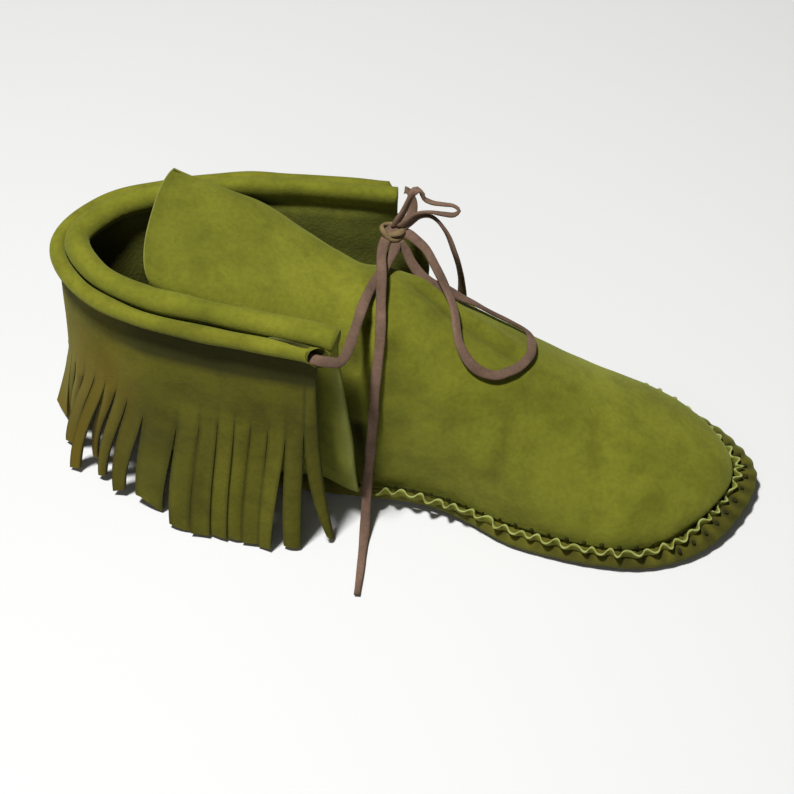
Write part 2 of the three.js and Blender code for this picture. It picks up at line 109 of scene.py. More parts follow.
# Rolled collar from its inner front end round the back: along, across, high
COLLAR = [
    (0.925, -0.51, 0.985), (0.87, -0.49, 0.99), (0.67, -0.46, 1), (0.47, -0.42, 1), (0.26, -0.35, 1),
    (0.09, -0.21, 1), (0, 0.01, 1), (0.09, 0.25, 1), (0.26, 0.38, 1), (0.47, 0.48, 1), (0.67, 0.51, 1),
    (0.87, 0.53, 0.99), (1.04, 0.54, 0.985),
]

# Main creases of the vamp: points along the trough, its depth, its half width, how high and
# how far to the outer side the ridge beside it stands, and how dark the fold is
# The dark of each fold is painted shade: in the troughs, and in the gap where the vamp tucks under the
# quarter
CREASES = [
    ([(70, 13, 97), (75, 11.6, 94), (82, 9.2, 91), (89, 6.2, 87), (96, 4.1, 83), (104, 2.5, 79),
      (111, 0.5, 74), (119, -1, 69.6), (126, -3, 66)], 1.6, 2.6, 1.4, 6, 0.3),
    ([(62, -9, 99), (60, -15, 96.5), (57.5, -20.5, 88), (55.4, -24.5, 77)], 2.6, 2.6, 0.8, 7, 0.55),
    ([(56, -27, 58), (57, -29, 44), (58.5, -30, 32), (60.5, -29.5, 20), (63, -29, 11)],
     2.4, 5.5, 0.5, 9, 0.95),
    ([(118, -21, 62), (117, -28, 52), (115, -33, 39), (112, -35.5, 27)], 1.3, 3, 0.7, 6, 0.35),
    ([(70, -15, 93), (72, -21, 82), (73, -27, 66)], 1.5, 4, 0.5, 8, 0.2),
    ([(88, 22, 82), (98, 25, 72), (110, 26, 60)], 1, 4, 0.5, 7, 0.1),
    ([(150, -8, 51), (154, -22, 46), (156, -34, 33)], 0.6, 5, 0.2, 9, 0.15),
    ([(64, -29, 16), (76, -31, 15), (90, -36, 14), (104, -42, 13)], 0.5, 6, 0, 9, 0.45),
]

# Strands of the near side as the photo shows them: where each leaves the flap along the collar, its width,
# the place of its tip, the tip's width, how far its end is cut at a slant, and where its slit starts
NEAR_STRANDS = [
    dict(zip(("at", "wide", "tip", "end", "slant", "slit"), row)) for row in (
        (2.6, 4.6, (49, -49, 3.2), 3.4, 1.5, 72),
        (8.6, 7, (33.5, -54.6, 2.2), 7.3, 0.3, 66),
        (15.6, 6.6, (22.3, -55.4, 2), 5.2, -0.8, 62),
        (22.2, 6.4, (16.2, -54.2, 2.2), 6.7, 0.2, 70),
        (28.6, 6.6, (9.3, -53.6, 2.2), 7.1, 0.2, 66),
        (35.2, 6.6, (2.4, -53, 2.2), 7.3, 0.2, 72),
        (42, 7, (-5, -52.6, 2.2), 7.3, 0.4, 64),
        (50, 8.6, (-14.2, -50.8, 2.2), 9.2, 1.2, 60),
        (60, 11.4, (-28.8, -41.4, 4.4), 10.5, 5, 52),
        (69.4, 4.6, (-42.5, -35.4, 4), 3.2, -1.2, 64),
        (74.6, 4.4, (-51.6, -28.4, 3.6), 3, -1, 62),
        (79.4, 4.2, (-56, -21.6, 6.5), 3, -1, 64),
        (84.2, 4.4, (-64, -25.6, 2.6), 3.2, -1, 66),
        (89.4, 5, (-68.4, -12.6, 3.4), 4, -1.4, 62),
    )
]

# Routes of the thong, the same points as in the part's source, and the side that its flat face looks to
BAR_ROUTE = [
    (52.1, -46, 110.3), (53.2, -46, 110.2), (55, -43.5, 109.6), (56.2, -37, 108.4), (57.2, -25, 106.7),
    (58.4, -10, 105.1), (60.4, 1, 104), (62.8, 9.5, 102.3), (64.6, 17, 101.7), (66.2, 24.6, 101.3),
]
OUTER_BAR_ROUTE = [
    (67, 48.1, 110.3), (68.5, 48, 110.1), (70.6, 45, 109.1), (71.3, 40.5, 107.6), (70.6, 37.4, 106.2),
    (69, 35.6, 105.3),
]
LOOP_ROUTE = [
    (70.4, 29.8, 104.3), (74.5, 27.5, 103.2), (78.5, 25, 101.2), (82.9, 20, 97.2), (87.3, 14, 93.4),
    (91.7, 6.5, 89.2), (96.1, -8.5, 83.8), (102.2, -13.7, 77.8), (110.3, -14.1, 74.3), (116.1, -10.1, 72.9),
    (119.5, -5.9, 71.2), (123.1, 0.9, 70.1), (123.8, 6.6, 69.2), (121.4, 17.6, 66), (114.5, 18.7, 69.8),
    (105.9, 17.8, 75.8), (99.3, 17.1, 80.9), (93.1, 16.1, 85.2), (87.1, 16, 89.2), (81.8, 17, 90.6),
    (77, 19.8, 92), (73, 22.6, 95.6), (70.4, 25.4, 98.9),
]
SMALL_LOOP_ROUTE = [
    (66, 30.8, 109.4), (68.4, 32.4, 113.6), (70.4, 34.4, 118.2), (71.9, 35.9, 121.4), (73.6, 36.9, 122.3),
    (75.2, 37.2, 120.4), (75.9, 36.9, 117.8), (79.5, 36, 116.6), (84, 35.2, 117), (88.4, 34.8, 117),
    (90.5, 33.5, 116), (88.8, 32.1, 114.9), (84, 31.8, 115.1), (78.6, 32.2, 115), (74, 32.2, 113.2),
    (70, 31, 109.7),
]
LONG_END_ROUTE = [
    (61.9, 24.6, 103.6), (61.8, 16.5, 105), (62.8, 8.5, 105.9), (64.2, -3.5, 104.4), (65.7, -18.9, 93.7),
    (65, -26.6, 79.6), (64.4, -30.7, 60.5), (62.9, -31.3, 37.4), (61.9, -32, 24), (61.9, -37.5, 14),
    (62, -42.5, 6), (62.1, -47.5, 2.2), (62.4, -55, 1.7), (62.8, -65, 1.7), (63, -75, 1.7),
]
SHORT_END_ROUTE = [
    (70.7, 32.6, 106.1), (74, 34, 109.4), (79.5, 34, 110.9), (85.5, 31.5, 106), (89.5, 29, 97),
    (91.5, 31, 86), (92.5, 35, 72), (92.5, 39.5, 52), (92, 43, 32), (91, 47, 16), (91, 52, 5),
    (91, 58, 1.9), (92, 70, 1.7),
]
KNOT_CENTRE = (64.5, 30, 104.1)


# Curves and surfaces


def smooth(low, high, value):
    t = np.clip((value - low) / (high - low), 0, 1)
    return t * t * (3 - 2 * t)


def bell(value):
    return np.exp(-(value**2))


def unit(vectors):
    return vectors / np.maximum(np.linalg.norm(vectors, axis=-1, keepdims=True), 1e-12)


def sideways(step):
    """The level direction at right angles to a step."""
    return unit(np.stack([-step[..., 1], step[..., 0], 0 * step[..., 0]], axis=-1))


def x_at(share):
    """Place along the boot at a share of the sole's length, and share_at turns it back."""
    return share * SOLE_LENGTH - HEEL_CENTRE


def share_at(x):
    return (x + HEEL_CENTRE) / SOLE_LENGTH


def spline(points, t, closed=False):
    """Centripetal Catmull-Rom curve through the points, read at t from 0 to 1."""
    points = np.asarray(points, float)
    count = len(points)
    spans = count if closed else count - 1
    place = np.asarray(t, float) * spans
    i = np.clip(np.floor(place).astype(int), 0, spans - 1)
    w = (place - i)[:, None]
    if closed:
        p0, p1, p2, p3 = (points[(i + k) % count] for k in (-1, 0, 1, 2))
    else:
        padded = np.vstack([2 * points[0] - points[1], points, 2 * points[-1] - points[-2]])
        p0, p1, p2, p3 = (padded[i + k] for k in range(4))
    pairs = ((p0, p1), (p1, p2), (p2, p3))
    d0, d1, d2 = (np.maximum(((b - a) ** 2).sum(axis=1), 1e-9)[:, None] ** 0.25 for a, b in pairs)
    m1 = ((p1 - p0) / d0 - (p2 - p0) / (d0 + d1) + (p2 - p1) / d1) * d1
    m2 = ((p2 - p1) / d1 - (p3 - p1) / (d1 + d2) + (p3 - p2) / d2) * d1
    return p1 + m1 * w + (3 * (p2 - p1) - 2 * m1 - m2) * w**2 + (2 * (p1 - p2) + m1 + m2) * w**3


class Route:
    """A curve read by its length: at(s) gives the points at lengths s, in mm."""

    def __init__(self, points, closed=False, fine=6000):
        self.samples = spline(points, np.linspace(0, 1, fine), closed)
        steps = np.linalg.norm(np.diff(self.samples, axis=0), axis=1)
        self.along = np.concatenate([[0], np.cumsum(steps)])
        self.length = self.along[-1]

    def at(self, s):
        return np.stack([np.interp(s, self.along, self.samples[:, k]) for k in range(3)], axis=-1)

    def way(self, s, step=1.0):
        return unit(self.at(np.minimum(s + step, self.length)) - self.at(np.maximum(s - step, 0)))


outline_route = Route([(x_at(a), b * BALL_WIDTH / 2, 0) for a, b in OUTLINE], closed=True)
PUCKERS = 2 * round(outline_route.length / PUCKER_PITCH / 2)
STATIONS = 2 * PUCKERS


def underside(x):
    """Height of the sole's underside: flat at the heel and the ball, lifted at the arch and the toe."""
    share = share_at(x)
    arch = smooth(0.32, 0.45, share) * (1 - smooth(0.47, 0.6, share))
    toe = np.maximum(0, (share - 0.84) / 0.16)
    return ARCH_LIFT * arch + TOE_SPRING * toe * toe


def seam_inset(x):
    share = share_at(x)
    waist = smooth(0.3, 0.38, share) * (1 - smooth(0.48, 0.62, share))
    return SEAM_INSET * (1 - 0.85 * waist) + TOE_TUCK * smooth(0.8, 0.97, share)


def outline_at(i):
    return outline_route.at((np.asarray(i, float) % STATIONS) / STATIONS * outline_route.length)


def outward_at(i):
    i = np.asarray(i, float)
    return sideways(outline_at(i + 1) - outline_at(i - 1))


def outline_point(i, inset, height):
    """Points of the outline at stations i, moved inward and set at a height over the underside."""
    base = outline_at(i)
    place = base - outward_at(i) * np.asarray(inset(base[..., 0]))[..., None]
    place[..., 2] = underside(place[..., 0]) + height
    return place


def index_at(share, side):
    """Station of one side, -1 inner and +1 outer, at a share of the length."""
    i = np.linspace(0, STATIONS / 2, 4000) * -side
    return float(np.interp(-x_at(share), -outline_at(i)[:, 0], i))


collar_route = Route([
    (a * COLLAR_LENGTH - COLLAR_BACK - HEEL_CENTRE, b * COLLAR_WIDTH, c * COLLAR_HEIGHT) for a, b, c in COLLAR
])


def collar_at(share):
    s = np.asarray(share, float) * collar_route.length
    return collar_route.at(s), sideways(collar_route.way(s))


def grid_normals(grid):
    """Unit normals of a grid of points, the cross product of its two directions."""
    down = np.gradient(grid, axis=0)
    across = np.gradient(grid, axis=1)
    return unit(np.cross(across, down))


def ripple(points, size, seed):
    """Soft unevenness from -1 to 1, a few crossed waves of about the given size."""
    local = np.random.default_rng(seed)
    total = np.zeros(points.shape[:-1])
    for _ in range(7):
        direction = unit(local.normal(size=3))
        length = size * local.uniform(0.7, 1.6)
        total += np.sin(points @ direction * 2 * math.pi / length + local.uniform(0, 6))
    return total / 3.5


def polyline_distance(points, line):
    """Distance to the nearest point of a line, the line's share there, and the offset vector."""
    count = 60
    dense = spline(line, np.linspace(0, 1, count))
    flat = points.reshape(-1, 3)
    best = np.full(len(flat), 1e9)
    pick = np.zeros(len(flat), int)
    for k, place in enumerate(dense):
        away = ((flat - place) ** 2).sum(axis=1)
        nearer = away < best
        best[nearer] = away[nearer]
        pick[nearer] = k
    offset = (flat - dense[pick]).reshape(points.shape)
    shape = points.shape[:-1]
    return np.sqrt(best).reshape(shape), (pick / (count - 1)).reshape(shape), offset


# Meshes


def ring_faces(rows, count, closed=False):
    """Faces between loops of points, and from the last loop back to the first where they are closed."""
    faces = []
    for r in range(rows if closed else rows - 1):
        a = r * count
        b = (r + 1) % rows * count
        for j in range(count):
            n = (j + 1) % count
            faces.append((a + j, a + n, b + n, b + j))
    return faces


def cap_faces(first, count, flip):
    """Faces across a loop whose point j faces point last - j."""
    faces = []
    for j in range(count // 2 - 1):
        quad = (first + count - 1 - j, first + count - 2 - j, first + j + 1, first + j)
        faces.append(quad[::-1] if flip else quad)
    return faces


def lofted(loops):
    """Points and faces of a closed solid through loops."""
    loops = np.asarray(loops)
    rows, count = loops.shape[:2]
    faces = ring_faces(rows, count) + cap_faces(0, count, False) + cap_faces((rows - 1) * count, count, True)
    return loops.reshape(-1, 3), faces


def sheet_loops(outer, inner, bulge=0.55):
    """Loops round a sheet of leather between two grids, with rounded cut edges."""
    def edge(column, neighbour):
        middle = (outer[:, column] + inner[:, column]) / 2
        return middle + unit(outer[:, column] - outer[:, neighbour]) * bulge

    last = edge(-1, -2)[:, None]
    first = edge(0, 1)[:, None]
    return np.concatenate([outer, last, inner[:, ::-1], first], axis=1)


class Parts:
    """Collects points, faces and a mask per point for one joined mesh."""

    def __init__(self):
        self.points = []
        self.faces = []
        self.mask = []
        self.count = 0

    def add(self, points, faces, mask=None):
        points = np.asarray(points, float).reshape(-1, 3)
        self.points.append(points)
        self.faces += [tuple(i + self.count for i in face) for face in faces]
        self.mask.append(np.zeros(len(points)) if mask is None else np.asarray(mask, float).reshape(-1))
        self.count += len(points)

    def mesh(self, name, material, slot, nodes=()):
        points = np.vstack(self.points)
        return piece(name, points, self.faces, material, nodes, np.concatenate(self.mask))


def piece(name, points, faces, material, nodes=(), mask=None, second=None, second_faces=None, sharp=0,
          painted_shade_and_tone=None):
    """A mesh in metres that rides on the boot, with a mask and a painted shade and tone per point for its
    material.
    """
    mesh = bpy.data.meshes.new(name)
    mesh.from_pydata((np.asarray(points) * MM).tolist(), [], faces)
    mesh.materials.append(material)
    if second is not None:
        mesh.materials.append(second)
        which = np.zeros(len(faces), np.int32)
        which[second_faces] = 1
        mesh.polygons.foreach_set("material_index", which)
    mesh.polygons.foreach_set("use_smooth", np.ones(len(mesh.polygons), bool))
    if sharp:
        mesh.set_sharp_from_angle(angle=math.radians(sharp))
    for layer_name, values in (("mask", mask), ("painted_shade_and_tone", painted_shade_and_tone)):
        if values is not None:
            layer = mesh.attributes.new(layer_name, "FLOAT", "POINT")
            layer.data.foreach_set("value", np.asarray(values, np.float32))
    work = bmesh.new()
    work.from_mesh(mesh)
    bmesh.ops.recalc_face_normals(work, faces=work.faces)
    work.to_mesh(mesh)
    work.free()
    made = bpy.data.objects.new(name, mesh)
    bpy.context.scene.collection.objects.link(made)
    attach(made, "root")
    if nodes:
        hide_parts(*nodes)
    return made


# Materials


def material_base(name, roughness, sheen, sheen_tint):
    made = bpy.data.materials.new(name)
    made.use_nodes = True
    nodes = made.node_tree.nodes
    shader = nodes["Principled BSDF"]
    shader.inputs["Roughness"].default_value = roughness
    shader.inputs["Specular IOR Level"].default_value = 0.12
    shader.inputs["Sheen Weight"].default_value = sheen
    shader.inputs["Sheen Roughness"].default_value = 0.55
    shader.inputs["Sheen Tint"].default_value = (*sheen_tint, 1)
    return made, nodes, made.node_tree.links, shader


def noise(nodes, links, coordinates, scale, detail=3.0, distortion=0.0):
    made = nodes.new("ShaderNodeTexNoise")
    made.inputs["Scale"].default_value = scale
    made.inputs["Detail"].default_value = detail
    made.inputs["Distortion"].default_value = distortion
    links.new(coordinates, made.inputs["Vector"])
    return made.outputs["Fac"]


def ramp(nodes, links, value, stops):
    made = nodes.new("ShaderNodeValToRGB")
    while len(made.color_ramp.elements) < len(stops):
        made.color_ramp.elements.new(0.5)
    for element, (place, color) in zip(made.color_ramp.elements, stops):
        element.position = place
        element.color = (*color, 1)
    links.new(value, made.inputs["Fac"])
    return made.outputs["Color"]


def mixed(nodes, links, factor, a, b, blend="MIX"):
    made = nodes.new("ShaderNodeMix")
    made.data_type = "RGBA"
    made.blend_type = blend
    for value, socket in ((factor, "Factor"), (a, "A"), (b, "B")):
        named = [s for s in made.inputs if s.name == socket and s.enabled]
        target = [s for s in named if s.type in ("VALUE", "RGBA")][-1]
        if isinstance(value, (int, float)):
            target.default_value = value
        elif isinstance(value, tuple):
            target.default_value = (*value, 1)
        else:
            links.new(value, target)
    return [s for s in made.outputs if s.enabled][-1]


def srgb(red, green, blue):
    """A colour from 0 to 255 as the photo shows it, in linear light."""
    shares = [c / 255 for c in (red, green, blue)]
    return tuple(((c + 0.055) / 1.055) ** 2.4 if c > 0.04045 else c / 12.92 for c in shares)


def layer_value(nodes, name):
    made = nodes.new("ShaderNodeAttribute")
    made.attribute_name = name
    return made.outputs["Fac"]


def bumped(nodes, links, shader, height, strength, distance):
    made = nodes.new("ShaderNodeBump")
    made.inputs["Strength"].default_value = strength
    made.inputs["Distance"].default_value = distance
    links.new(height, made.inputs["Height"])
    links.new(made.outputs["Normal"], shader.inputs["Normal"])


WHITE = (1, 1, 1)
# Near black mixed in by the second layer: painted shade in creases, pleats, slits and under the casing, and a
# darker tone
PAINTED_SHADE_AND_TONE_COLOUR = srgb(24, 22, 6)


def suede(name, dark, middle, light, edge, sheen=0.34):
    """Napped suede: brushed blotches, a fine nap, the mask's edge colour and the dark of painted shade and
    tone.
    """
    made, nodes, links, shader = material_base(name, 0.95, sheen, srgb(150, 158, 80))
    place = nodes.new("ShaderNodeTexCoord").outputs["Object"]
    wide = noise(nodes, links, place, 22, 4.0, 0.6)
    middle_noise = noise(nodes, links, place, 95, 3.0, 0.3)
    fine = noise(nodes, links, place, 520, 4.0)
    hair = noise(nodes, links, place, 1900, 2.0)
    color = ramp(nodes, links, wide, [(0.3, dark), (0.5, middle), (0.72, light)])
    patch = ramp(nodes, links, middle_noise, [(0.3, (0.72, 0.72, 0.7)), (0.55, WHITE)])
    color = mixed(nodes, links, 0.75, color, patch, "MULTIPLY")
    speck = ramp(nodes, links, fine, [(0.3, (0.7, 0.7, 0.68)), (0.6, WHITE)])
    color = mixed(nodes, links, 0.5, color, speck, "MULTIPLY")
    # The mask mixes in the edge colour: pale cut edges, and on some pieces painted light and painted shade
    color = mixed(nodes, links, layer_value(nodes, "mask"), color, edge)
    # Painted shade and a darker tone, from the second layer
    color = mixed(nodes, links, layer_value(nodes, "painted_shade_and_tone"), color, PAINTED_SHADE_AND_TONE_COLOUR)
    links.new(color, shader.inputs["Base Color"])
    height = nodes.new("ShaderNodeMath")
    height.operation = "ADD"
    links.new(fine, height.inputs[0])
    links.new(hair, height.inputs[1])
    bumped(nodes, links, shader, height.outputs[0], 0.35, 0.0006)
    return made


def plain_suede(name, dark, light, sheen=0.15):
    """Plainer leather for the lining and the thong, and the holes' painted shade: blotches and a fine nap."""
    made, nodes, links, shader = material_base(name, 0.95, sheen, srgb(150, 140, 110))
    place = nodes.new("ShaderNodeTexCoord").outputs["Object"]
    wide = noise(nodes, links, place, 60, 4.0, 0.4)
    fine = noise(nodes, links, place, 700, 3.0)
    color = ramp(nodes, links, wide, [(0.3, dark), (0.7, light)])
    speck = ramp(nodes, links, fine, [(0.3, (0.68, 0.66, 0.64)), (0.62, WHITE)])
    color = mixed(nodes, links, 0.6, color, speck, "MULTIPLY")
    links.new(color, shader.inputs["Base Color"])
    bumped(nodes, links, shader, fine, 0.4, 0.0005)
    return made


SUEDE = suede("suede_lime", srgb(84, 86, 20), srgb(97, 98, 25), srgb(109, 110, 31), srgb(138, 144, 88))
# Its edge colour is near black, for the painted shade in the casing's mouths
SUEDE_CUFF = suede("suede_cuff", srgb(84, 84, 20), srgb(98, 98, 25), srgb(112, 113, 32), srgb(26, 20, 6))
# Painted shade: a darker copy of the suede for the hanging flap; its warm edge colour is painted light
SUEDE_FLAP_SHADED = suede("suede_flap_shaded", srgb(66, 63, 12), srgb(80, 77, 15), srgb(94, 91, 20), srgb(104, 82, 14),
                   sheen=0.16)
# Painted shade: the sole's suede is a darker copy, for the shade on its turned-under sides
SUEDE_SOLE_SHADED = suede("suede_sole_shaded", srgb(62, 59, 15), srgb(75, 72, 19), srgb(88, 86, 25), srgb(46, 44, 12))
LINING = plain_suede("suede_inside", srgb(74, 78, 24), srgb(96, 99, 33))
HOLE_SHADE = plain_suede("stitch_hole_shade", srgb(30, 30, 8), srgb(44, 44, 14), 0)
THONG = plain_suede("thong_brown", srgb(76, 60, 49), srgb(106, 84, 70))
# The turns laid round the knot are a lighter brown
BAND = plain_suede("thong_lighter", srgb(90, 76, 52), srgb(116, 98, 68))


# Thong


def thong(name, route, slot_nodes, faces_to, width=LACE_WIDTH, taper=0.0):
    """A flat strip along a route. faces_to are (share, direction) pairs that its flat face looks to."""
    line = Route(route)
    rows = max(24, int(line.length / 1.2))
    s = np.linspace(0, line.length, rows)
    place = line.at(s)
    way = line.way(s, 1.2)
    shares = np.array([share for share, _ in faces_to])
    looks = np.array([look for _, look in faces_to], float)
    face = np.stack([np.interp(s / line.length, shares, looks[:, k]) for k in range(3)], axis=1)
    side = unit(np.cross(way, unit(face)))
    for _ in range(3):
        side[1:-1] = unit(side[:-2] + side[1:-1] * 2 + side[2:])
    normal = unit(np.cross(side, way))
    wide = width * (1 - taper * smooth(0.8, 1, s / line.length)) * (1 + 0.05 * np.sin(s * 0.31))
    section = [(-0.5, 0.2), (-0.36, 0.46), (-0.12, 0.5), (0.12, 0.5), (0.36, 0.46), (0.5, 0.2)]
    section += [(a, -b) for a, b in section[::-1]]
    loops = np.stack([
        place + side * (a * wide)[:, None] + normal * (b * LACE_THICKNESS) for a, b in section
    ], axis=1)
    points, faces = lofted(loops)
    made = piece(name, points, faces, THONG, slot_nodes)
    return made, line, place


# The bars are held at both ends, so they aren't free cords
thong("thong_bar", [(42, -44.6, 109.8), (47, -45.6, 110)] + BAR_ROUTE + [(66.2, 27.5, 101.8)], ["lace_bar"],
      [(0, (0.2, -0.5, 0.9)), (0.5, (0.1, -0.5, 0.9)), (1, (0.3, -0.3, 1))])
thong("thong_bar_outer", OUTER_BAR_ROUTE + [(66.5, 32.5, 104.6)], ["lace_bar_outer"],
      [(0, (0.9, 0, 0.5)), (1, (0, -0.4, 0.9))])

loop_big, loop_line, loop_path = thong(
    "thong_loop_big", [(67, 30, 104.2)] + LOOP_ROUTE + [(67.4, 27.6, 101.6)], ["lace_loop_big"],
    [(0, (0.5, -0.6, 0.7)), (0.2, (0.75, -0.3, 0.7)), (0.34, (0.6, -0.9, 0.3)), (0.5, (0.3, 0.6, 0.9)),
     (0.62, (0.5, 0.7, 0.7)), (0.75, (0.4, 0.6, 0.8)), (0.86, (0, -0.5, 0.9)), (1, (-0.3, -0.8, 0.6))],
)
loop_small, small_line, small_path = thong(
    "thong_loop_small", [(65.3, 30.4, 106.9)] + SMALL_LOOP_ROUTE + [(67.4, 30.4, 107)], ["lace_loop_small"],
    [(0, (0.6, -0.8, 0.2)), (0.2, (0.9, -0.5, 0.2)), (0.3, (0.3, 0.5, 0.9)), (0.4, (0.2, 0.5, 0.9)),
     (0.5, (0.1, 0.6, 0.9)), (0.62, (0.7, 0.2, 0)), (0.7, (0, -0.5, -0.9)), (1, (0.4, -0.9, 0.1))],
    width=SMALL_LOOP_WIDTH,
)
end_long, long_line, long_path = thong(
    "thong_end_long", [(62.8, 28.2, 103.8)] + LONG_END_ROUTE, ["lace_end_long"],
    [(0, (0.1, -0.6, 0.9)), (0.2, (0, -0.4, 1)), (0.35, (0, -0.9, 0.5)), (0.7, (0.2, -1, 0.1)),
     (0.8, (0.1, -0.6, 0.8)), (1, (0, 0, 1))], taper=0.35,
)
end_short, short_line, short_path = thong(
    "thong_end_short", [(68, 31.4, 104.8)] + SHORT_END_ROUTE, ["lace_end_short"],
    [(0, (0.3, 0.5, 0.8)), (0.12, (0.2, 0.7, 0.8)), (0.3, (0.9, 0.6, 0.4)), (0.6, (0, 1, 0.3)),
     (1, (0, 0, 1))], taper=0.35,
)


def small_ball(rings, around):
    theta = np.linspace(0, math.pi, rings + 1)[1:-1]
    turn = np.linspace(0, 2 * math.pi, around, endpoint=False)
    points = [
        (math.sin(t) * math.cos(p), math.sin(t) * math.sin(p), math.cos(t)) for t in theta for p in turn
    ]
    points = np.vstack([points, (0, 0, 1), (0, 0, -1)])
    faces = ring_faces(len(theta), around)
    top = len(theta) * around
    low = (len(theta) - 1) * around
    faces += [(top, (j + 1) % around, j) for j in range(around)]
    faces += [(top + 1, low + j, low + (j + 1) % around) for j in range(around)]
    return points, faces


def ellipsoid(centre, size, rings=10, around=16):
    ball, faces = small_ball(rings, around)
    return np.array(centre) + ball * size, faces


def knot_piece():
    """The knot: a bundled core, with two turns of the flat strip laid over it."""
    core = Parts()
    centre = np.array(KNOT_CENTRE)
    core.add(*ellipsoid(centre + (0.2, 0, -0.2), (3.9, 3.3, 3.1)))
    core.add(*ellipsoid(centre + (-1.9, -2.2, -1.6), (2, 1.8, 2.2)))
    knot_core = core.mesh("thong_knot", THONG, "thong", ["lace_knot"])
    bands = Parts()
    # Each turn's axis, two radii, shift from the centre, width and lift
    wraps = [
        ((0.32, -0.12, 0.94), (4.5, 3.7), (-0.3, -0.2, 0.7), 2.7, 0.9),
        ((-0.35, 0.75, 0.55), (3.5, 3.3), (1.4, -0.6, -0.4), 2.5, 0.3),
    ]
    section = [(-0.5, 0), (-0.4, 0.42), (0, 0.55), (0.4, 0.42), (0.5, 0), (0.4, -0.42), (0, -0.5),
               (-0.4, -0.42)]
    steps = 48
    for axis, radii, offset, width, lift in wraps:
        axis = unit(np.array(axis))
        first = unit(np.cross(axis, (0.0, 1.0, 0.1)))
        second = np.cross(axis, first)
        loops = []
        for angle in np.linspace(0, 2 * math.pi, steps, endpoint=False):
            out = first * math.cos(angle) * radii[0] + second * math.sin(angle) * radii[1]
            middle = centre + np.array(offset) + out + axis * lift * math.sin(angle * 2 + 0.6)
            normal = unit(out)
            wide = width * (1 + 0.14 * math.sin(angle * 3))
            loops.append([middle + axis * a * wide + normal * b * LACE_THICKNESS for a, b in section])
        bands.add(loops, ring_faces(steps, len(section), closed=True))
    return knot_core, bands.mesh("thong_knot_band", BAND, "thong", ["lace_knot"])


knot, knot_band = knot_piece()


# Sole and insole


def sole_piece():
    """A soft cup with a flat bottom, gathered into soft pleats round the forefoot."""
    fine = STATIONS * 6
    i = np.arange(fine // 2 + 1) / 6
    # Share of the seam's inset, further inset, height, share of the pleat
    profile = [
        (0, SOLE_TURN + 4, SOLE_THICKNESS, 0), (0, SOLE_TURN, SOLE_THICKNESS, 0),
        (1, WALL + 0.6, SEAM_HEIGHT * 0.6, 0.1), (1, WALL, SEAM_HEIGHT - 0.3, 0.3),
        (1, WALL / 2, SEAM_HEIGHT, 0.5),
        (1, 0, SEAM_HEIGHT - 0.1, 0.8), (0.62, 0, SEAM_HEIGHT * 0.93, 1), (0.3, 0, SEAM_HEIGHT * 0.8, 0.75),
        (0, 0.1, SEAM_HEIGHT * 0.62, 0.3), (0, 0.1, SEAM_HEIGHT * 0.44, 0.1), (0, 0.7, SEAM_HEIGHT * 0.26, 0),
        (0, SOLE_TURN * 0.38, SEAM_HEIGHT * 0.1, 0), (0, SOLE_TURN * 0.7, 0.15, 0), (0, SOLE_TURN, 0, 0),
        (0, SOLE_TURN + 4, 0, 0),
    ]

    def side(stations):
        share = share_at(outline_at(stations)[:, 0])
        strength = 0.25 + smooth(0.4, 0.7, share) + 0.9 * smooth(0.8, 0.93, share)
        uneven = 1 + 0.35 * np.sin(stations * 1.3) + 0.2 * np.sin(stations * 0.37)
        pleat = PUCKER_DEPTH * strength * uneven * (0.5 - 0.5 * np.cos(math.pi * stations)) ** 1.3
        columns = []
        pleat_shade = []
        for seam_share, more, height, drawn in profile:
            columns.append(outline_point(
                stations, lambda x: seam_inset(x) * seam_share + more + pleat * drawn * 0.85, height))
            # Painted shade: darker in the valleys of the pleats
            pleat_shade.append(np.minimum(0.6, 0.3 * pleat) * min(1, drawn * 2.2))
        return np.stack(columns, axis=1), np.stack(pleat_shade, axis=1)

    near, near_pleat_shade = side(i)
    far, far_pleat_shade = side(STATIONS - i)
    loops = np.concatenate([near, far[:, ::-1]], axis=1)
    painted_shade_and_tone = np.concatenate([near_pleat_shade, far_pleat_shade[:, ::-1]], axis=1)
    points, faces = lofted(loops)
    points = points.reshape(loops.shape)
    wobble = ripple(points, 34, 3) * 0.25
    points[..., 2] += np.where((points[..., 2] > 1) & (points[..., 2] < SEAM_HEIGHT), wobble, 0)
    mask = 0.8 * (points[..., 2] < 0.6)
    return piece("sole_skin", points.reshape(-1, 3), faces, SUEDE_SOLE_SHADED, ["sole"],
                 mask.reshape(-1), painted_shade_and_tone=painted_shade_and_tone.reshape(-1))


def insole_piece():
    i = np.arange(STATIONS + 1) / 2
    inset = lambda x: np.maximum(seam_inset(x) + WALL, SOLE_TURN) + 2 * GAP
    low = SOLE_THICKNESS + GAP
    near = [outline_point(i, inset, h) for h in (low + INSOLE_THICKNESS, low)]
    far = [outline_point(STATIONS - i, inset, h) for h in (low, low + INSOLE_THICKNESS)]
    points, faces = lofted(np.stack([*near, *far], axis=1))
    return piece("insole_sheet", points, faces, LINING, ["insole"])


# Vamp and tongue


def arch(near, far, top, square, swell, columns):
    angle = np.linspace(-0.5, 0.5, columns + 1) * math.pi
    crown = (np.abs(np.cos(angle)) ** square)[:, None]
    side = (np.sign(angle) * np.abs(np.sin(angle)) ** square)[:, None]
    foot = near + (far - near) * (side + 1) / 2
    lift = np.array([0, 0, 1.0])
    out = foot + lift * (top[2] - foot[:, 2:]) * crown
    out[:, 0:1] += (top[0] - (near[0] + far[0]) / 2) * crown * crown
    out[:, 1:2] += side * swell * crown * (far[1] - near[1]) / 2
    return out


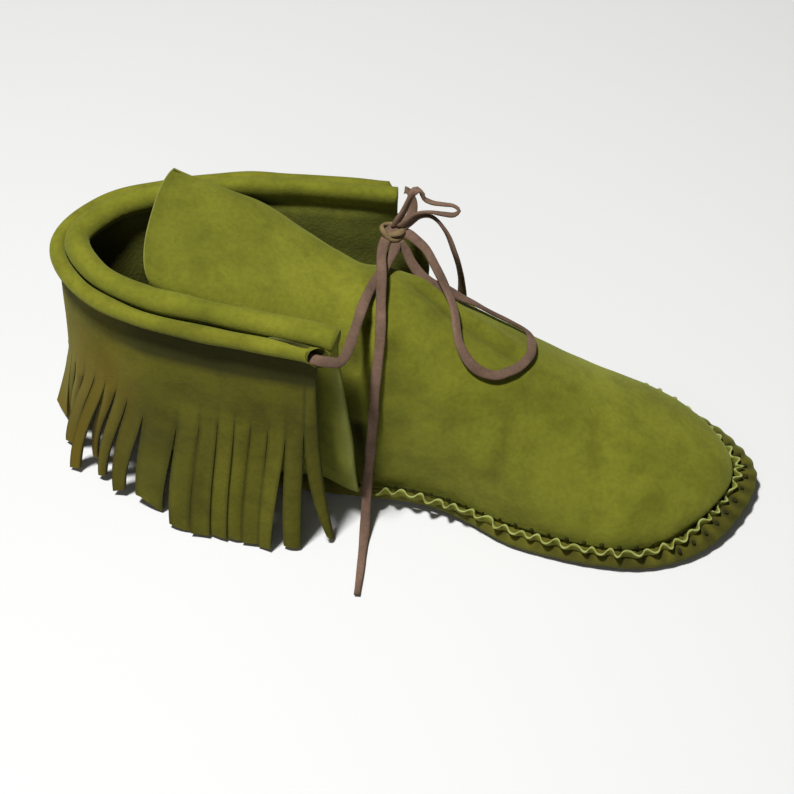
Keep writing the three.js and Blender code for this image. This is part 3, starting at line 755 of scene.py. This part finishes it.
def vamp_rows(columns):
    seam_height = SEAM_HEIGHT + GAP
    toe = [index_at(VAMP_ROWS[0][0], side) for side in (-1, 1)]
    rows = [outline_point(np.linspace(toe[0], toe[1], columns + 1), seam_inset, seam_height)]
    for seam, top, rise, square, swell in VAMP_ROWS[1:]:
        ends = np.array([index_at(seam, side) for side in (-1, 1)])
        near, far = outline_point(ends, seam_inset, seam_height)
        crest = (x_at(top), 0, near[2] + rise * (VAMP_HEIGHT - seam_height))
        rows.append(arch(near, far, crest, square, swell, columns))
    for edge, top, inner, outer, crest, half, square in TONGUE_ROWS:
        near = np.array([x_at(edge), TONGUE_SHIFT - half * TONGUE_WIDTH, inner * TONGUE_HEIGHT])
        far = np.array([x_at(edge), TONGUE_SHIFT + half * TONGUE_WIDTH, outer * TONGUE_HEIGHT])
        crest = (x_at(top), 0, crest * TONGUE_HEIGHT)
        rows.append(arch(near, far, crest, square, TONGUE_SWELL, columns))
    return np.array(rows)


def resampled(rows, columns):
    """The grid with its columns spread evenly along each row."""
    out = np.empty((len(rows), columns + 1, 3))
    for r, row in enumerate(rows):
        s = np.concatenate([[0], np.cumsum(np.linalg.norm(np.diff(row, axis=0), axis=1))])
        even = np.linspace(0, s[-1], columns + 1)
        out[r] = np.stack([np.interp(even, s, row[:, k]) for k in range(3)], axis=1)
    return out


RIDGE_REACH = 8
TONGUE_END_ROWS = 12


def creased(grid, normals):
    """How far the creases move each point along its normal, and how dark they make it."""
    shift = np.zeros(grid.shape[:-1])
    dark = np.zeros(grid.shape[:-1])
    for line, depth, half, ridge, off, tone in CREASES:
        away, share, offset = polyline_distance(grid, line)
        fade = smooth(0, 0.18, share) * (1 - smooth(0.8, 1, share)) + 0.02
        along = unit(np.array(line[-1], float) - line[0])
        outer = unit(np.cross(normals, along))
        signed = (offset * outer).sum(axis=-1)
        shift -= depth * fade * bell(away / half)
        # Painted shade along the trough
        dark = np.maximum(dark, tone * fade * bell(away / (half * 0.8)))
        beyond = np.abs(signed - off)
        reach = np.sqrt(np.maximum(away**2 - signed**2, 0))
        shift += ridge * fade * bell(beyond / (off * 0.6)) * bell(reach / RIDGE_REACH)
    return shift, dark


def vamp_piece():
    columns = 84
    steps = 8
    base = vamp_rows(columns * 2)
    count = (len(base) - 1) * steps + 1
    t = np.linspace(0, 1, count)
    grid = np.stack([spline(base[:, c], t) for c in range(base.shape[1])], axis=1)
    grid[..., 2] = np.maximum(grid[..., 2], underside(grid[..., 0]) + SEAM_HEIGHT + GAP)
    grid = resampled(grid, columns)
    normals = grid_normals(grid)
    if normals[count // 3, columns // 2, 2] < 0:
        normals = -normals
    on_seam = steps * (len(VAMP_ROWS) - 1)
    # The tongue's free end keeps the way that the rows before it face
    normals[-TONGUE_END_ROWS:] = normals[-TONGUE_END_ROWS - 1]
    rows = np.arange(count)[:, None]
    cols = np.arange(columns + 1)[None]
    edge = np.minimum(np.minimum(cols, columns - cols) * 2.2, rows * 2.0)
    free = smooth(0, 6, edge)
    shift, dark = creased(grid, normals)
    shift *= free
    shift += 0.45 * ripple(grid, 46, 11) * free + 0.14 * ripple(grid, 15, 12) * free
    tongue = smooth(on_seam, on_seam + 4 * steps, rows + 0 * cols)
    shift += tongue * (0.5 * ripple(grid, 60, 13) - 0.3 * np.cos(cols / columns * 4 * math.pi))
    dark = np.maximum(dark, 0.1 * tongue)
    # Scallops where the stitches draw the edge in
    scallop = 0.5 + 0.5 * np.cos(grid[..., 0] / (PUCKER_PITCH / 2) * math.pi)
    scallop = scallop * np.exp(-np.maximum(edge - 1.5, 0) / 3) * smooth(0.6, 3, edge)
    shift -= 0.6 * scallop * (rows < on_seam)
    outer = grid + normals * shift[..., None]
    inward = normals.copy()
    inward[0] = unit(inward[0] * [1, 1, 0])
    for side in (0, -1):
        inward[: on_seam + 1, side] = unit(inward[: on_seam + 1, side] * [1, 1, 0])
    # The tongue is a single layer
    inner = outer - inward * (WALL * (1 - 0.45 * smooth(on_seam, on_seam + steps, rows)))[..., None]
    inner[..., 2] = np.maximum(inner[..., 2], underside(inner[..., 0]) + SEAM_HEIGHT + GAP)
    loops = sheet_loops(outer, inner, 0.5)
    points, faces = lofted(loops)
    across = loops.shape[1]
    face_count = (count - 1) * across
    second = [f for f in range(face_count) if columns + 2 <= f % across < across - 1]
    pale = np.zeros(loops.shape[:2])
    pale[:, [columns + 1, across - 1]] = 0.5
    pale[-1] = 0.35
    pale[: on_seam - steps * 2, [columns + 1, across - 1]] = 0
    # Painted shade of the creases, and the tongue's darker tone, on the outer face
    painted_shade_and_tone = np.zeros(loops.shape[:2])
    painted_shade_and_tone[:, : columns + 1] = dark
    return piece("vamp_skin", points, faces, SUEDE, ["upper"], pale.reshape(-1), LINING, second,
                 painted_shade_and_tone=painted_shade_and_tone.reshape(-1))


# Quarters, shaft and rolled collar


# How far along the collar its two front edges are drawn, the far lobe reaches and the painted highlight on
# the near edge goes, and how far the lobe goes towards the toe
FRONT_REACH = 15
LOBE_REACH = 22
HIGHLIGHT_REACH = 3.5
LOBE_FORWARD = 13.5


def quarter_piece():
    """One sheet from the seam up round the heel, over the roll and down inside."""
    first = index_at(QUARTER_FRONT, -1)
    last = index_at(QUARTER_FRONT, 1) + STATIONS
    stations = 200
    share = np.linspace(0, 1, stations + 1)
    at = first + (last - first) * share
    foot = outline_point(at, lambda x: seam_inset(x) - LAP + WALL / 2, SEAM_HEIGHT + GAP)
    foot_way = outward_at(at)
    place, way = collar_at(share)
    heights = np.concatenate([np.linspace(0, 0.8, 20), [0.84, 0.875, 0.905]])

    def wall(height, side):
        base = foot + (place - foot) * height
        out = unit(foot_way + (way - foot_way) * height)
        belly = QUARTER_BELLY * math.sin(math.pi * min(height, 1) ** 0.7)
        soft = 0.7 * ripple(base, 42, 21) * math.sin(math.pi * height) + 0.25 * ripple(base, 16, 22) * height
        reach = collar_route.length / FRONT_REACH
        front = bell(share * reach) + bell((1 - share) * reach)
        lifted = 5.6 * front * max(math.sin(math.pi * min(height, 1) ** 0.5), 0)
        forward = np.array([3.2, 0, 0]) * (front * math.sin(math.pi * min(height * 1.1, 1)))[:, None]
        # The far front edge is drawn on towards the toe under the roll
        lobe = bell((1 - share) * collar_route.length / LOBE_REACH)
        drawn = float(smooth(0, 0.5, height) * (1 - smooth(0.58, 0.95, height)))
        forward[:, 0] += LOBE_FORWARD * lobe * drawn
        return base + forward + out * (side * WALL / 2 + belly + soft + lifted)[:, None]

    def roll(degrees):
        angle = math.radians(degrees)
        radius = ROLL_RADIUS * (1 + 0.05 * ripple(place, 30, 23))
        point = place + way * (radius * math.cos(angle))[:, None]
        point[:, 2] += radius * math.sin(angle) + 0.35 * ripple(place, 55, 24)
        return point

    def inner_roll(degrees):
        # On the far side the roll lies flat against the wall inside
        flat = smooth(0.5, 0.75, share)
        point = roll(degrees)
        drop = 1 - math.sin(math.radians(degrees))
        point[:, 2] -= flat * 1.5 * drop
        return point + way * (flat * 2.6 * abs(math.cos(math.radians(degrees))) * (0.3 + drop) / 1.3)[:, None]

    turn = [-62, -42, -20, 0, 20, 40, 58, 75]
    outer = [wall(h, 1) for h in heights] + [roll(a) for a in turn]
    inner = [wall(h, -1) for h in heights] + [inner_roll(180 - a) for a in turn]
    loops = np.stack(outer + [roll(90)] + inner[::-1], axis=1)
    floor_edge = ((outer[0] + inner[0]) / 2)[:, None]
    loops = np.concatenate([loops, floor_edge], axis=1)
    points, faces = lofted(loops)
    across = loops.shape[1]
    inside_from = len(outer) + 7
    second = [f for f in range(stations * across) if inside_from <= f % across < across - 1]
    # Painted highlight: the near front edge is painted paler than the rest, where it catches the light
    pale = np.zeros(loops.shape[:2])
    pale[:, : len(heights) - 2] = (0.3 * bell(share * collar_route.length / HIGHLIGHT_REACH))[:, None]
    return piece("quarter_skin", points, faces, SUEDE, ["upper"], pale.reshape(-1), LINING, second)


# Gathered seam


def seam_pieces():
    """The wavy double edge of the gathered seam, and dark marks of painted shade in the holes of its
    stitches.
    """
    first = index_at(QUARTER_FRONT, 1) + 2
    last = index_at(QUARTER_FRONT, -1) - 1
    fine = 10
    i = np.arange(int((last - first) * fine) + 1) / fine + first
    wander = 0.16 * np.sin(i * 0.77) + 0.12 * np.sin(i * 1.93 + 1)
    wave = np.cos(math.pi * (i + wander))
    wave = np.sign(wave) * np.abs(wave) ** 0.75
    uneven = 1 + 0.25 * np.sin(i * 0.9) + 0.2 * np.sin(i * 2.3 + 0.4)
    swing = 1.45 * wave * uneven
    toe = smooth(0.86, 0.95, share_at(outline_at(i)[:, 0]))
    height = RUFFLE_HEIGHT * (0.82 + 0.1 * np.sin(i * 0.7) + 0.07 * np.sin(i * 3.1)) * (1 - 0.12 * toe)
    lean = 1.4 - 0.8 * toe

    def level(share, depth):
        out = RUFFLE_CLEARANCE + lean * share + RUFFLE_THICKNESS / 2 + depth + swing * (0.35 + 0.65 * share)
        base = outline_at(i)
        point = base - outward_at(i) * (seam_inset(base[:, 0]) - out)[:, None]
        point[:, 2] = underside(point[:, 0]) + SEAM_HEIGHT - 0.6 + height * share
        return point

    half = RUFFLE_THICKNESS * 0.46
    rise = [(0, 1), (0.35, 0.9), (0.7, 0.85), (0.92, 0.75), (1, 0.3)]
    shape = [(a, -half * b) for a, b in rise] + [(a, half * b) for a, b in rise[::-1]]
    loops = np.stack([level(a, b) for a, b in shape], axis=1)
    points, faces = lofted(loops)
    pale = np.array([0, 0, 0, 0.35, 1, 1, 0.35, 0, 0, 0])
    worn = 0.72 + 0.28 * np.sin(i * 0.53) * np.sin(i * 2.7 + 1)
    mask = pale[None] * worn[:, None]
    piece("seam_flange", points, faces, SUEDE, ["seam_ruffle"], mask.reshape(-1))

    # Painted shade: dark balls for the shade inside the stitch holes
    holes = Parts()
    for k in range(math.ceil(first) + 1, math.floor(last)):
        inner_side = k % 2 == 0
        at = np.array([float(k)])
        base = outline_at(at)[0]
        way = outward_at(at)[0]
        # The holes outside the seam show at the toe alone
        if not inner_side and share_at(base[0]) < 0.88:
            continue
        out = RUFFLE_CLEARANCE + (-1.5 if inner_side else 4.4)
        centre = base - way * (seam_inset(base[0]) - out)
        centre[2] = underside(centre[0]) + SEAM_HEIGHT + (2.2 if inner_side else -0.9)
        along = np.array([-way[1], way[0], 0])
        size = np.array((1.0, 1.1, 1.15) if inner_side else (0.85, 1.2, 0.6)) * rng.uniform(0.8, 1.15)
        ball, ball_faces = small_ball(6, 10)
        holes.add(centre + ball[:, :1] * along * size[0] + ball[:, 1:2] * way * size[1]
                  + ball[:, 2:] * np.array([0, 0, size[2]]), ball_faces)
    holes.mesh("seam_holes", HOLE_SHADE, "suede")


# Casing, flap and fringe

CASING_OUT = math.sqrt((ROLL_RADIUS + CASING_RADIUS + 2 * GAP) ** 2 - CASING_DROP**2)
FLAP_TOP = CASING_DROP + CASING_RADIUS


NEAR_MOUTH_ROWS = 13
FAR_MOUTH_ROWS = 9


def casing_piece():
    """The tube that carries the thong, open and slanted at its two mouths."""
    stations = 180
    share = np.linspace(0, 1, stations + 1)
    place, way = collar_at(share)
    angles = np.linspace(0, 2 * math.pi, 20, endpoint=False)
    radius = CASING_RADIUS * (1 + 0.06 * ripple(place, 26, 31))

    def ring(row, size, slant=0.0, push=0.0):
        """Section of the casing, its outward side drawn back by slant and the whole pushed in by push."""
        inward = unit(place[min(row + 1, stations)] - place[max(row - 1, 0)])
        inward *= 1 if row * 2 < stations else -1
        section = []
        for a in angles:
            point = place[row] + way[row] * (CASING_OUT + size * math.cos(a))
            point = point + np.array([0, 0, size * math.sin(a) - CASING_DROP])
            section.append(point + inward * (push + slant * (0.5 + 0.5 * math.cos(a - 0.7))))
        return section

    # Size, slant and push of the rings from inside a mouth to its lip
    steps = ((0.5, 8, 17), (0.76, 8, 8), (0.86, 7.8, 1.2), (1, 7, 0))
    far_from = stations - FAR_MOUTH_ROWS + 1
    flare = 1 + 0.22 * np.clip(1 - np.arange(stations + 1) / 9, 0, 1) ** 2
    loops = [ring(0, radius[0] * flare[0] * size, slant, push) for size, slant, push in steps]
    for row in range(1, NEAR_MOUTH_ROWS):
        loops.append(ring(row, radius[row] * flare[row], 7 * (1 - row / NEAR_MOUTH_ROWS) ** 2))
    loops += [ring(row, radius[row]) for row in range(NEAR_MOUTH_ROWS, far_from)]
    for row in range(far_from, stations):
        loops.append(ring(row, radius[row], 5 * (1 - (stations - row) / FAR_MOUTH_ROWS) ** 2))
    loops += [ring(stations, radius[-1] * size, slant * 0.6, push) for size, slant, push in steps[::-1]]
    loops = np.array(loops)
    points, faces = lofted(loops)
    # Painted shade: the rings at each mouth are near black, for the shade inside the open tube
    dark = np.zeros(loops.shape[:2])
    dark[[0, 1, -1, -2]] = 1
    dark[[2, -3]] = 0.75
    return piece("cuff_casing", points, faces, SUEDE_CUFF, ["cuff_fringe"], dark.reshape(-1))


def flap_out(height):
    """How far the flap stands off the collar line: it drops straight under the casing, then flares."""
    down = np.clip((COLLAR_HEIGHT - FLAP_TOP - height) / (COLLAR_HEIGHT - FLAP_TOP - 2.4), 0, 1)
    start = CASING_OUT - FLAP_THICKNESS / 2
    return start + (FLAP_FLARE - CASING_OUT) * (0.35 * down + 0.65 * down**1.6)


# Where the strands placed by the loop start along the flap, and the heel's round that they follow
LOOP_FROM = 94.6
HEEL_ROUND = 40


def strand_list():
    """Every strand from the near front end round the back: the near ones listed, the rest by the loop."""
    length = collar_route.length * (1 - 2 * FLAP_ENDS)
    strands = list(NEAR_STRANDS)
    at = LOOP_FROM
    while at < length - 1.5:
        wide = 4.6 + 2.2 * rng.random() + 1.6 * (at > 150)
        wide = min(wide, length - at + wide / 2)
        strands.append({"at": at + wide / 2 - 2.5, "wide": wide, "end": wide * rng.uniform(0.6, 0.9),
                        "slant": rng.uniform(-1.5, 1.5), "slit": rng.uniform(48, 66),
                        "sway": rng.uniform(-3, 3), "out": rng.uniform(-1.5, 3), "low": rng.uniform(2, 5.5)})
        at += wide
    return strands


def strand_leans(strands, begin, borders):
    """For each strand: its tip's height, how far the tip lies from where it would hang, the sheet's share."""
    found = []
    slide = 0.0
    for k, strand in enumerate(strands):
        share = (begin + (borders[k] + borders[k + 1]) / 2) / collar_route.length
        place, way = (value[0] for value in collar_at(np.array([share])))
        along = np.array([way[1], -way[0], 0])
        if "tip" in strand:
            low = strand["tip"][2]
            rest = place + way * flap_out(low)
            own = np.array(strand["tip"], float) - rest
            own[2] = 0
            slide = float(own @ along)
            sheet = own
        else:
            low = strand["low"]
            fade = float(1 - smooth(90, 165, strand["at"]))
            sheet = along * slide * fade - way * (slide * fade) ** 2 / (2 * HEEL_ROUND)
            own = sheet + way * strand["out"] + along * strand["sway"]
        found.append([low, own, sheet])
    found[0][2] = found[1][2]
    sheets = [lean[2] for lean in found]
    for k in range(1, len(found) - 1):
        found[k][2] = (sheets[k - 1] + sheets[k] * 2 + sheets[k + 1]) / 4
    return found


def fringe_piece():
    """One sheet: whole under the casing, and cut into strands from each slit down."""
    strands = strand_list()
    length = collar_route.length * (1 - 2 * FLAP_ENDS)
    begin = collar_route.length * FLAP_ENDS
    borders = [0.0]
    slits = [strands[0]["slit"] + 30]
    for a, b in zip(strands[:-1], strands[1:]):
        borders.append((a["at"] + a["wide"] / 2 + b["at"] - b["wide"] / 2) / 2)
        slits.append((a["slit"] + b["slit"]) / 2)
    borders.append(length)
    slits.append(90)
    columns = 6
    spread = np.linspace(-0.5, 0.5, columns)
    leans = strand_leans(strands, begin, borders)
    whole = np.linspace(COLLAR_HEIGHT - CASING_DROP - 1, 76, 16)[:-1]
    upper = np.concatenate([whole, np.arange(76, 36, -2.0)])
    lower_rows = 18
    rows = len(upper) + lower_rows
    points = []
    mask = []
    painted_shade_and_tone = []
    faces = []
    ids = {}
    for k, strand in enumerate(strands):
        s = begin + np.linspace(borders[k], borders[k + 1], columns)
        place, way = collar_at(s / collar_route.length)
        middle_way = unit(way.mean(axis=0))
        along = np.array([middle_way[1], -middle_way[0], 0])
        wide = borders[k + 1] - borders[k]
        low, own, sheet = leans[k]
        heights = np.concatenate([upper, np.linspace(upper[-1], low, lower_rows + 1)[1:]])
        before = leans[max(k - 1, 0)][2]
        after = leans[min(k + 1, len(strands) - 1)][2]
        cut = slits[k] + (slits[k + 1] - slits[k]) * (spread + 0.5)
        curl = 0.5 * math.sin(k * 1.9) + 0.25
        tone = 0.5 + 0.5 * math.sin(k * 2.4)
        for r, height in enumerate(heights):
            flat = place + way * flap_out(height)
            flat[:, 2] = height
            flat += way * (0.7 * ripple(flat * [1, 1, 0.35], 30, 41) * smooth(108, 80, height))[:, None]
            free = np.clip((cut - height) / (cut - low), 0, 1)
            narrow = strand["end"] + (wide - 0.3 - strand["end"]) * (1 - free)
            opened = smooth(0, 0.06, free)
            # The whole sheet leans with its strands, and each strand's own lean grows below its slit
            weight = (spread + 0.5)[:, None]
            shared = (before + sheet) / 2 * (1 - weight) + (sheet + after) / 2 * weight
            down = ((upper[0] - height) / (upper[0] - low)) ** 1.5
            point = flat + shared * down + (own - shared * down) * (free**1.6)[:, None]
            point += np.outer(spread * (narrow - wide) * opened, along)
            sway = 0.4 * math.sin(k * 3.7)
            point += along * (sway * np.sin(math.pi * free) * free)[:, None]
            turned = 1.3 * math.sin(k * 2.1 + 0.8) * spread + 0.6 * math.sin(k * 4.4)
            bowed = curl * (1 - (2 * spread) ** 2) + turned * smooth(0, 0.35, free)
            point += way * (bowed * opened)[:, None]
            if r == rows - 1:
                point[:, 2] += spread * strand["slant"] * 1.6
                point[:, 2] = np.maximum(point[:, 2], 1)
            for c in range(columns):
                warm = smooth(66, 92, s[c]) * smooth(150, 120, s[c])
                # Above its slit a strand shares its first column with the last of the one before
                if c == 0 and k > 0 and height >= slits[k]:
                    ids[k, r, c] = ids[k - 1, r, columns - 1]
                    continue
                ids[k, r, c] = len(points)
                points.append(point[c] + way[c] * FLAP_THICKNESS / 2)
                points.append(point[c] - way[c] * FLAP_THICKNESS / 2)
                # Painted light: warmer and lighter towards the back end, fading out towards the top
                warm_light = warm * (0.5 + 0.3 * tone) * smooth(112, 60, height)
                mask += [warm_light, warm_light]
                # Painted shade along the slits
                slit_shade = 0.5 * (c in (0, columns - 1)) * smooth(slits[k] + 14, slits[k] - 8, height)
                # Painted shadow of the casing on the top of the flap
                casing_shadow = 0.8 - 0.55 * smooth(72, 98, s[c]) + 0.3 * smooth(110, 150, s[c])
                casing_shadow = casing_shadow * smooth(90.5, 95, height)
                dark = max(float(slit_shade), float(casing_shadow), 0.16 * tone * float(smooth(90, 60, height)))
                painted_shade_and_tone += [dark, dark]
    count = len(strands)
    for k in range(count):
        for r in range(rows - 1):
            for c in range(columns - 1):
                a, b = ids[k, r, c], ids[k, r, c + 1]
                d, e = ids[k, r + 1, c], ids[k, r + 1, c + 1]
                faces.append((a, b, e, d))
                faces.append((a + 1, d + 1, e + 1, b + 1))
            for c, side in ((0, -1), (columns - 1, 1)):
                a, d = ids[k, r, c], ids[k, r + 1, c]
                other = k + side
                joined = 0 <= other < count and (
                    ids[other, r, columns - 1 - c] == a and ids[other, r + 1, columns - 1 - c] == d
                )
                if not joined:
                    faces.append((a, d, d + 1, a + 1) if side < 0 else (a, a + 1, d + 1, d))
        for c in range(columns - 1):
            a, b = ids[k, rows - 1, c], ids[k, rows - 1, c + 1]
            faces.append((a, b, b + 1, a + 1))
            a, b = ids[k, 0, c], ids[k, 0, c + 1]
            faces.append((a, a + 1, b + 1, b))
    return piece("fringe", points, faces, SUEDE_FLAP_SHADED, ["cuff_fringe"], mask, sharp=42, painted_shade_and_tone=painted_shade_and_tone)


sole_piece()
insole_piece()
vamp_piece()
quarter_piece()
seam_pieces()
casing_piece()
fringe_piece()


# Floor, light and camera

floor_material = bpy.data.materials.new("floor_pale")
floor_material.use_nodes = True
floor_shader = floor_material.node_tree.nodes["Principled BSDF"]
floor_shader.inputs["Base Color"].default_value = (0.5, 0.5, 0.495, 1)
floor_shader.inputs["Roughness"].default_value = 0.8
bpy.ops.mesh.primitive_plane_add(size=8, location=(0.1, 0.5, -0.0002))
floor = bpy.context.object
floor.name = "floor"
floor.data.materials.append(floor_material)

world = bpy.data.worlds.new("studio")
bpy.context.scene.world = world
world.use_nodes = True
world.node_tree.nodes["Background"].inputs["Color"].default_value = (1, 0.99, 0.97, 1)
world.node_tree.nodes["Background"].inputs["Strength"].default_value = 0.1


def aimed(name, data, place, target):
    """An object of the scene that stands at a place and looks at a target."""
    made = bpy.data.objects.new(name, data)
    bpy.context.scene.collection.objects.link(made)
    made.location = place
    made.rotation_mode = "QUATERNION"
    made.rotation_quaternion = (Vector(target) - Vector(place)).to_track_quat("-Z", "Y")
    return made


def area_light(name, place, target, size, power):
    data = bpy.data.lights.new(name, "AREA")
    data.size = size
    data.energy = power
    aimed(name, data, place, target)


area_light("key", (-0.17, -0.27, 1.44), (0.07, 0, 0.05), 0.14, 38.5)
area_light("fill", (-0.1, -1.2, 0.8), (0.05, 0, 0.05), 0.9, 1.9)

EYE = (0.1367, -0.5329, 0.6834)
AIM = (0.0705, -0.004, 0.043)
LENS = 92
camera_data = bpy.data.cameras.new("camera")
camera_data.sensor_width = 36
camera_data.lens = LENS
camera_data.clip_start = 0.01
bpy.context.scene.camera = aimed("camera", camera_data, EYE, AIM)
bpy.context.scene.view_settings.view_transform = "Standard"
